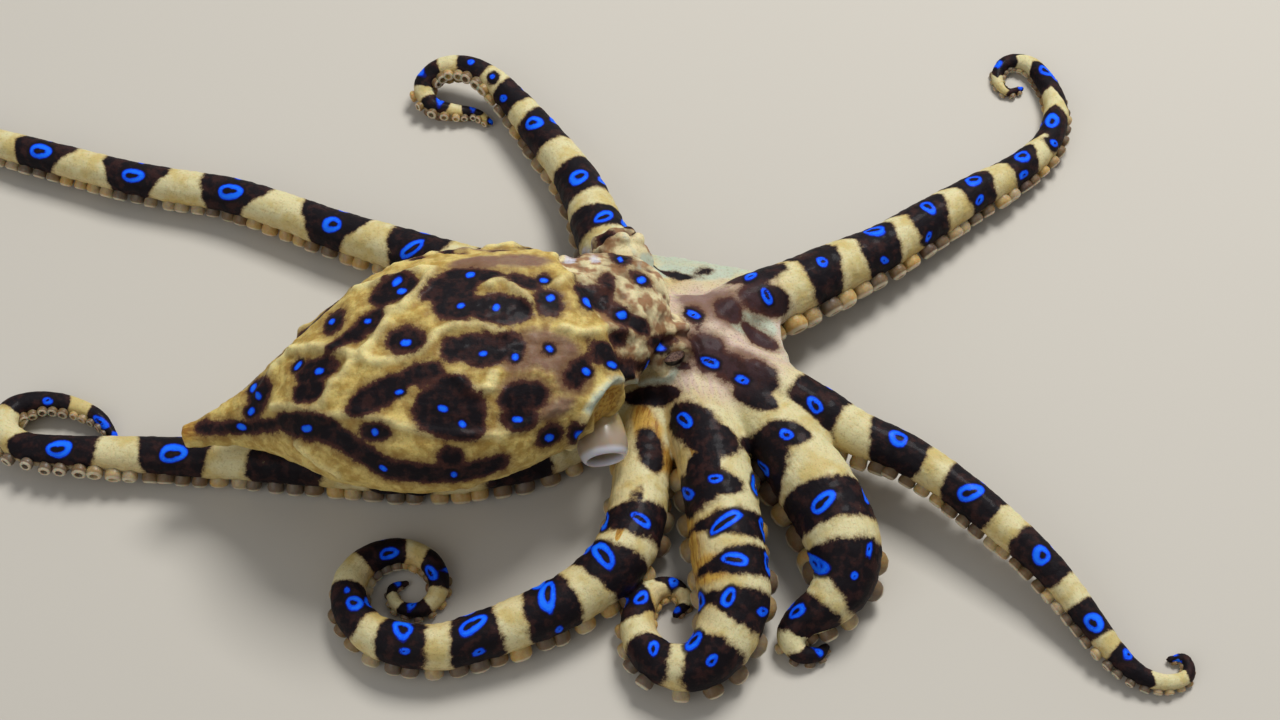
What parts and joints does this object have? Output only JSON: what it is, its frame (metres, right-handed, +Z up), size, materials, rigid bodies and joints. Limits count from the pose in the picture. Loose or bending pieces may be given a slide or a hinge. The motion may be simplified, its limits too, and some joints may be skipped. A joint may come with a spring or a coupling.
{
  "type": "blue ringed octopus",
  "caption": "Life-size still model of a blue ringed octopus crawling: pointed mantle, head, funnel and curling arms with suckers, spread flat on the floor.",
  "frame": {"origin": "on the floor, under the middle of the whole animal's box", "axes": "+Z up, +X from the mantle's tip towards the head, +Y to the animal's left"},
  "size_m": [0.1346, 0.078, 0.0214],
  "materials": {
    "mantle_skin": "moist wrinkled skin, ochre ridges between dark brown blotches with blue spots",
    "arm_skin": "moist skin in cream and dark brown bands, a bright blue ring on each dark band",
    "funnel": "thin translucent grey-yellow flesh with a pale bluish rim",
    "eye": "wet dark eye with a slit pupil"
  },
  "bodies": {
    "root": {"arm_crown": "arm_skin", "eye_left": "eye", "eye_right": "eye", "funnel": "funnel", "head": "mantle_skin", "left_arm_1_far": "arm_skin", "left_arm_1_middle": "arm_skin", "left_arm_1_near": "arm_skin", "left_arm_1_tip": "arm_skin", "left_arm_2_middle": "arm_skin", "left_arm_2_near": "arm_skin", "left_arm_2_tip": "arm_skin", "left_arm_3_far": "arm_skin", "left_arm_3_near": "arm_skin", "left_arm_3_second": "arm_skin", "left_arm_3_third": "arm_skin", "left_arm_3_tip": "arm_skin", "left_arm_4_far": "arm_skin", "left_arm_4_middle": "arm_skin", "left_arm_4_near": "arm_skin", "left_arm_4_tip": "arm_skin", "mantle": "mantle_skin", "right_arm_1_middle": "arm_skin", "right_arm_1_near": "arm_skin", "right_arm_1_tip": "arm_skin", "right_arm_2_middle": "arm_skin", "right_arm_2_near": "arm_skin", "right_arm_2_tip": "arm_skin", "right_arm_3_far": "arm_skin", "right_arm_3_middle": "arm_skin", "right_arm_3_near": "arm_skin", "right_arm_3_tip": "arm_skin", "right_arm_4_far": "arm_skin", "right_arm_4_near": "arm_skin", "right_arm_4_second": "arm_skin", "right_arm_4_third": "arm_skin", "right_arm_4_tip": "arm_skin"}
  },
  "joints": []
}
